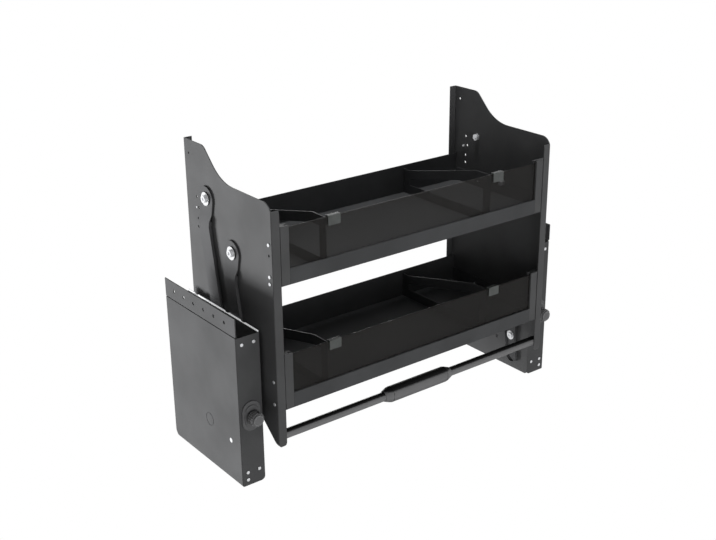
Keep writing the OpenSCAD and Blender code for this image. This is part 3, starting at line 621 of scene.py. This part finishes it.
class RACK_OT_springs(RackPiece, bpy.types.Operator):
    """Balance springs on the crank pins, and the nuts' plugs that slide in their open ends"""

    bl_idname = "rack.springs"
    bl_label = "Springs"

    def build(self, scene):
        wire = scene.rack_sizes.wire / 2
        for side in SIDES:
            low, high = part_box(side + "_spring")
            across = (low[0] + high[0]) / 2
            start = Vector((across, low[1] + COIL_NUT_GAP, COIL_NUT_Z))
            end = Vector((across, high[1], COIL_CRANK_Z))
            piece = self.coil(side + "_balance_spring", start, end, wire)
            dress(piece, side + "_spring", "spring_steel", rides=False)
            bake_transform(piece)
            self.plug(side, start + Vector((0, PLUG_REACH, 0)), wire)

    def plug(self, side, tip, wire):
        """A rod from the nut's front face with a round head inside the coil"""
        nut = side + "_tension_nut"
        sunk = 0.0005
        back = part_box(nut)[1][1] - sunk
        rod = disc(side + "_plug_rod", wire * 1.2, tip.y - back,
                   (tip.x, (tip.y + back) / 2, tip.z), ALONG_Y, 24)
        head = disc(side + "_plug_head", PLUG_HEAD_RADIUS, PLUG_HEAD_LENGTH, tip, ALONG_Y, 32)
        soften(head, 0.0006)
        dress(join(side + "_spring_plug", [rod, head]), nut, "zinc", stands=False)

    def coil(self, name, start, end, wire):
        """A coil of wire that closes onto its own axis over its last half curl"""
        data = bpy.data.curves.new(name, "CURVE")
        data.dimensions, data.bevel_depth, data.bevel_resolution = "3D", wire, 3
        data.use_fill_caps = True
        length = (end - start).length
        lead = 4 * wire
        steps = CURLS * RINGS_A_CURL
        points = []
        for i in range(steps + 1):
            turn = math.tau * i / RINGS_A_CURL
            reach = COIL_RADIUS * min(1, 2 * (steps - i) / RINGS_A_CURL)
            points.append((reach * math.cos(turn), reach * math.sin(turn),
                           (length - lead) * i / steps))
        points += [(0, 0, length - lead / 2), (0, 0, length)]
        line = data.splines.new("POLY")
        line.points.add(len(points) - 1)
        aim = (end - start).to_track_quat("Z", "X").to_matrix().to_4x4()
        place = Matrix.Translation(start) @ aim
        for point, at in zip(line.points, points):
            point.co = (*(place @ Vector(at)), 1)
        piece = bpy.data.objects.new(name, data)
        bpy.context.collection.objects.link(piece)
        focus(piece)
        bpy.ops.object.convert(target="MESH")
        bpy.ops.object.shade_smooth_by_angle(angle=math.radians(50))
        return bpy.context.object


class RACK_OT_knobs(RackPiece, bpy.types.Operator):
    """Fluted tension knobs with steel caps, on their oval plates"""

    bl_idname = "rack.knobs"
    bl_label = "Knobs"

    def build(self, scene):
        for side in SIDES:
            node = side + "_knob_plate"
            dress(sheet_of(node, node + "_oval", 0.0009, segments=3), node, "knob_plate_plastic")
            self.knob(side, scene.rack_sizes.flute_depth)

    def knob(self, side, depth):
        """A fluted rim around a plain neck, with a dished steel cap in front"""
        node = side + "_tension_knob"
        low, high = (Vector(c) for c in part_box(node))
        centre, radius, long = (low + high) / 2, (high.x - low.x) / 2, high.y - low.y
        neck = disc(side + "_knob_neck", radius * 0.8, long * 0.99, centre, ALONG_Y, 64)
        soften(neck, 0.0012, 3)
        rim = disc(side + "_knob_rim", radius, long * 0.7, centre, ALONG_Y, RIM_EDGES)
        self.flute(rim, centre, 1 - depth / radius)
        soften(rim, 0.0007, angle=20)
        dress(join(side + "_knob_grip", [neck, rim]), node, "knob_plastic")
        stand_out = 0.0008
        front = Vector((centre.x, low.y + stand_out, centre.z))
        cap = disc(side + "_knob_cap", radius * 0.66, CAP_DEPTH, front, ALONG_Y, 64)
        pick(cap, lambda at, normal: normal.y < -0.9)
        bpy.ops.mesh.inset(thickness=0.0018)
        bpy.ops.transform.translate(value=(0, 0.0006, 0))
        bpy.ops.mesh.inset(thickness=0.004)
        done()
        soften(cap, 0.0003, angle=25)
        dress(cap, node, "cap_steel" if side == "left" else "zinc", stands=False)

    def flute(self, rim, centre, share):
        """Draws every other pair of the rim's edges in to this share of its radius"""
        focus(rim)
        bpy.ops.object.mode_set(mode="EDIT")
        mesh = bmesh.from_edit_mesh(rim.data)
        for vertex in mesh.verts:
            arm = vertex.co - centre
            step = round(math.atan2(arm.z, arm.x) / math.tau * RIM_EDGES)
            if step % FLUTE_EDGES < FLUTE_EDGES / 2:
                vertex.co.x, vertex.co.z = centre.x + arm.x * share, centre.z + arm.z * share
        bmesh.update_edit_mesh(rim.data)
        done()


class RACK_OT_arms(RackPiece, bpy.types.Operator):
    """Pressed swing arms and their lower bolts"""

    bl_idname = "rack.arms"
    bl_label = "Arms"

    def build(self, scene):
        edge = scene.rack_sizes.arm_edge
        for side in SIDES:
            for end in ("rear", "front"):
                node = f"{side}_{end}_arm"
                dress(sheet_of(node, node + "_pressing", edge, segments=3), node, "arm_coat")
                node += "_bolt"
                dress(sheet_of(node, node + "_head", 0.0004), node, "zinc")


class RACK_OT_pivots(RackPiece, bpy.types.Operator):
    """Button-head pivot bolts with hexagon sockets, and their washers"""

    bl_idname = "rack.pivots"
    bl_label = "Pivots"

    def build(self, scene):
        heads = sheet_of("pivot_bolts", "pivot_bolt_heads", 0.0012, segments=3, angle=50)
        dress(heads, "pivot_bolts", "zinc")
        rings = sheet_of("pivot_washers", "pivot_washer_rings", 0.0003)
        dress(rings, "pivot_washers", "cap_steel")


class RACK_OT_side_plates(RackPiece, bpy.types.Operator):
    """Side plates of the carriage"""

    bl_idname = "rack.side_plates"
    bl_label = "Side plates"

    def build(self, scene):
        edge = scene.rack_sizes.sheet_edge
        for side in SIDES:
            node = side + "_side_plate"
            dress(sheet_of(node, node + "_sheet", edge, segments=3), node, "plate_coat")


class RACK_OT_trays(RackPiece, bpy.types.Operator):
    """Trays and their corner posts"""

    bl_idname = "rack.trays"
    bl_label = "Trays"

    def build(self, scene):
        for level in LEVELS:
            node = level + "_tray"
            dress(sheet_of(node, node + "_sheet", 0.0003), node, "tray_coat")
            node = level + "_tray_posts"
            dress(sheet_of(node, node + "_pair", 0.0005, segments=3), node, "plate_coat")


class RACK_OT_glass(RackPiece, bpy.types.Operator):
    """Smoked glass fronts with a ground arris"""

    bl_idname = "rack.glass"
    bl_label = "Glass"

    def build(self, scene):
        for level in LEVELS:
            node = level + "_glass"
            low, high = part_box(node)
            pane = slab(node + "_pane", low, high)
            soften(pane, scene.rack_sizes.glass_edge)
            dress(pane, node, "smoked_glass")


class RACK_OT_screws(RackPiece, bpy.types.Operator):
    """Screws in front and flush screws behind, which hold the trays and posts"""

    bl_idname = "rack.screws"
    bl_label = "Screws"

    def build(self, scene):
        heads = sheet_of("tray_screws", "tray_screw_heads", 0.0004, segments=3)
        dress(heads, "tray_screws", "zinc")


class RACK_OT_handle(RackPiece, bpy.types.Operator):
    """Handle bar and soft grip"""

    bl_idname = "rack.handle"
    bl_label = "Handle"

    def build(self, scene):
        dress(sheet_of("handle_bar", "handle_bar_tube", 0.0003), "handle_bar", "bar_coat")
        sleeve = sheet_of("handle_grip", "handle_grip_sleeve", 0.0006, segments=3, angle=25)
        dress(sleeve, "handle_grip", "grip_rubber")


class RACK_OT_dividers(RackPiece, bpy.types.Operator):
    """Sliding dividers and their clips over the glass"""

    bl_idname = "rack.dividers"
    bl_label = "Dividers"

    def build(self, scene):
        for place in ("upper_left", "upper_right", "lower_left", "lower_right"):
            node = place + "_divider"
            dress(sheet_of(node, node + "_sheet", 0.0003), node, "divider_coat")
            node = place + "_clip"
            dress(sheet_of(node, node + "_saddle", 0.0006, segments=3), node, "clip_plastic")


class RACK_OT_stage(RackPiece, bpy.types.Operator):
    """White floor and sky, soft lamps, shadow cards and the camera"""

    bl_idname = "rack.stage"
    bl_label = "Stage"

    def build(self, scene):
        stage = scene.rack_stage
        focus()
        bpy.ops.mesh.primitive_plane_add(size=40, location=(0, 0, stage.floor_z))
        floor = named("floor")
        floor.data.materials.append(self.pale(stage.glow))
        # The low key lamp stands under the floor and shines through it
        floor.visible_shadow = False
        self.sky(scene, stage.fill)
        for name, place, aim, size, share, glossy in LAMPS:
            self.lamp(name, place, aim, size, stage.key * share, glossy)
        for name, low, high in FLAGS:
            self.flag(name, low, high)
        self.camera(scene, stage)
        scene.view_settings.view_transform = "Standard"

    def flag(self, name, low, high):
        """A card that only casts shadow"""
        card = slab(name, low, high)
        card.visible_camera = card.visible_glossy = False
        card.visible_diffuse = card.visible_transmission = False
        card.data.materials.append(finish_of("buffer_rubber"))

    def white_seen(self, tree):
        """A shader value of 1 for camera, mirror and see-through rays, and 0 for all others"""
        path = tree.nodes.new("ShaderNodeLightPath")
        seen = path.outputs["Is Camera Ray"]
        for ray in ("Is Glossy Ray", "Is Transmission Ray"):
            most = tree.nodes.new("ShaderNodeMath")
            most.operation = "MAXIMUM"
            tree.links.new(seen, most.inputs[0])
            tree.links.new(path.outputs[ray], most.inputs[1])
            seen = most.outputs[0]
        return seen

    def either(self, tree, plain, white, out):
        """Sends plain to out, or white where the background is seen"""
        mix = tree.nodes.new("ShaderNodeMixShader")
        tree.links.new(self.white_seen(tree), mix.inputs[0])
        tree.links.new(plain, mix.inputs[1])
        tree.links.new(white, mix.inputs[2])
        tree.links.new(mix.outputs[0], out.inputs["Surface"])

    def pale(self, glow):
        """White as seen, a faint glow to the rack"""
        finish = Finish("pale_floor", roughness=0.9, specular_ior_level=0.0,
                        base_color=(0.3, 0.3, 0.3), emission_color=(1, 1, 1),
                        emission_strength=glow)
        tree = finish.tree
        light = tree.nodes.new("ShaderNodeEmission")
        light.inputs["Strength"].default_value = 1
        out = tree.nodes["Material Output"]
        self.either(tree, finish.surface.outputs[0], light.outputs[0], out)
        return finish.material

    def sky(self, scene, strength):
        """White as seen, an even faint light to the rack"""
        scene.world = scene.world or bpy.data.worlds.new("sky")
        scene.world.use_nodes = True
        tree = scene.world.node_tree
        tree.nodes.clear()
        even = tree.nodes.new("ShaderNodeBackground")
        even.inputs["Strength"].default_value = strength
        white = tree.nodes.new("ShaderNodeBackground")
        for shade in (even, white):
            shade.inputs["Color"].default_value = (1, 1, 1, 1)
        out = tree.nodes.new("ShaderNodeOutputWorld")
        self.either(tree, even.outputs[0], white.outputs[0], out)

    def lamp(self, name, place, aim, size, power, glossy):
        """A round area lamp that faces its aim"""
        focus()
        bpy.ops.object.light_add(type="AREA", location=place)
        lamp = bpy.context.object
        lamp.name = name
        lamp.visible_glossy = glossy
        lamp.data.shape, lamp.data.size, lamp.data.energy = "DISK", size, power
        lamp.rotation_euler = (Vector(place) - Vector(aim)).to_track_quat("Z", "Y").to_euler()

    def camera(self, scene, stage):
        """The camera, turned right of +Y, down and about its own axis"""
        focus()
        bpy.ops.object.camera_add(location=stage.place)
        camera = bpy.context.object
        camera.name = "camera"
        heading, fall, roll = stage.turn
        ahead = Vector((math.sin(heading) * math.cos(fall), math.cos(heading) * math.cos(fall),
                        -math.sin(fall)))
        right = Vector((math.cos(heading), -math.sin(heading), 0))
        up = right.cross(ahead)
        across = right * math.cos(roll) + up * math.sin(roll)
        upward = up * math.cos(roll) - right * math.sin(roll)
        camera.rotation_euler = Matrix((across, upward, -ahead)).transposed().to_euler()
        camera.data.sensor_width, camera.data.lens = SENSOR_WIDTH, stage.lens
        camera.data.clip_start, camera.data.clip_end = 0.05, 100
        scene.camera = camera


PIECES = (RACK_OT_housings, RACK_OT_rivets, RACK_OT_mechanism, RACK_OT_springs, RACK_OT_knobs,
          RACK_OT_arms, RACK_OT_pivots, RACK_OT_side_plates, RACK_OT_trays, RACK_OT_glass,
          RACK_OT_screws, RACK_OT_handle, RACK_OT_dividers, RACK_OT_stage)


class RACK_PT_panel(bpy.types.Panel):
    """Lists the rack's pieces, sizes and colours"""

    bl_idname = "RACK_PT_panel"
    bl_label = "Pull-down rack"
    bl_space_type = "VIEW_3D"
    bl_region_type = "UI"
    bl_category = "Rack"

    def draw(self, context):
        for piece in PIECES:
            self.layout.operator(piece.bl_idname)
        for group in (getattr(context.scene, name) for name in GROUPS):
            box = self.layout.box()
            for prop in group.__annotations__:
                box.prop(group, prop)


GROUPS = {"rack_sizes": RackSizes, "rack_colours": RackColours, "rack_stage": RackStage}


def register():
    for kind in (*GROUPS.values(), *PIECES, RACK_PT_panel):
        bpy.utils.register_class(kind)
    for name, group in GROUPS.items():
        setattr(bpy.types.Scene, name, bpy.props.PointerProperty(type=group))


def unregister():
    for name in GROUPS:
        delattr(bpy.types.Scene, name)
    for kind in reversed((*GROUPS.values(), *PIECES, RACK_PT_panel)):
        bpy.utils.unregister_class(kind)


def main():
    register()
    for piece in PIECES:
        group, name = piece.bl_idname.split(".")
        getattr(getattr(bpy.ops, group), name)()


if __name__ == "__main__":
    main()
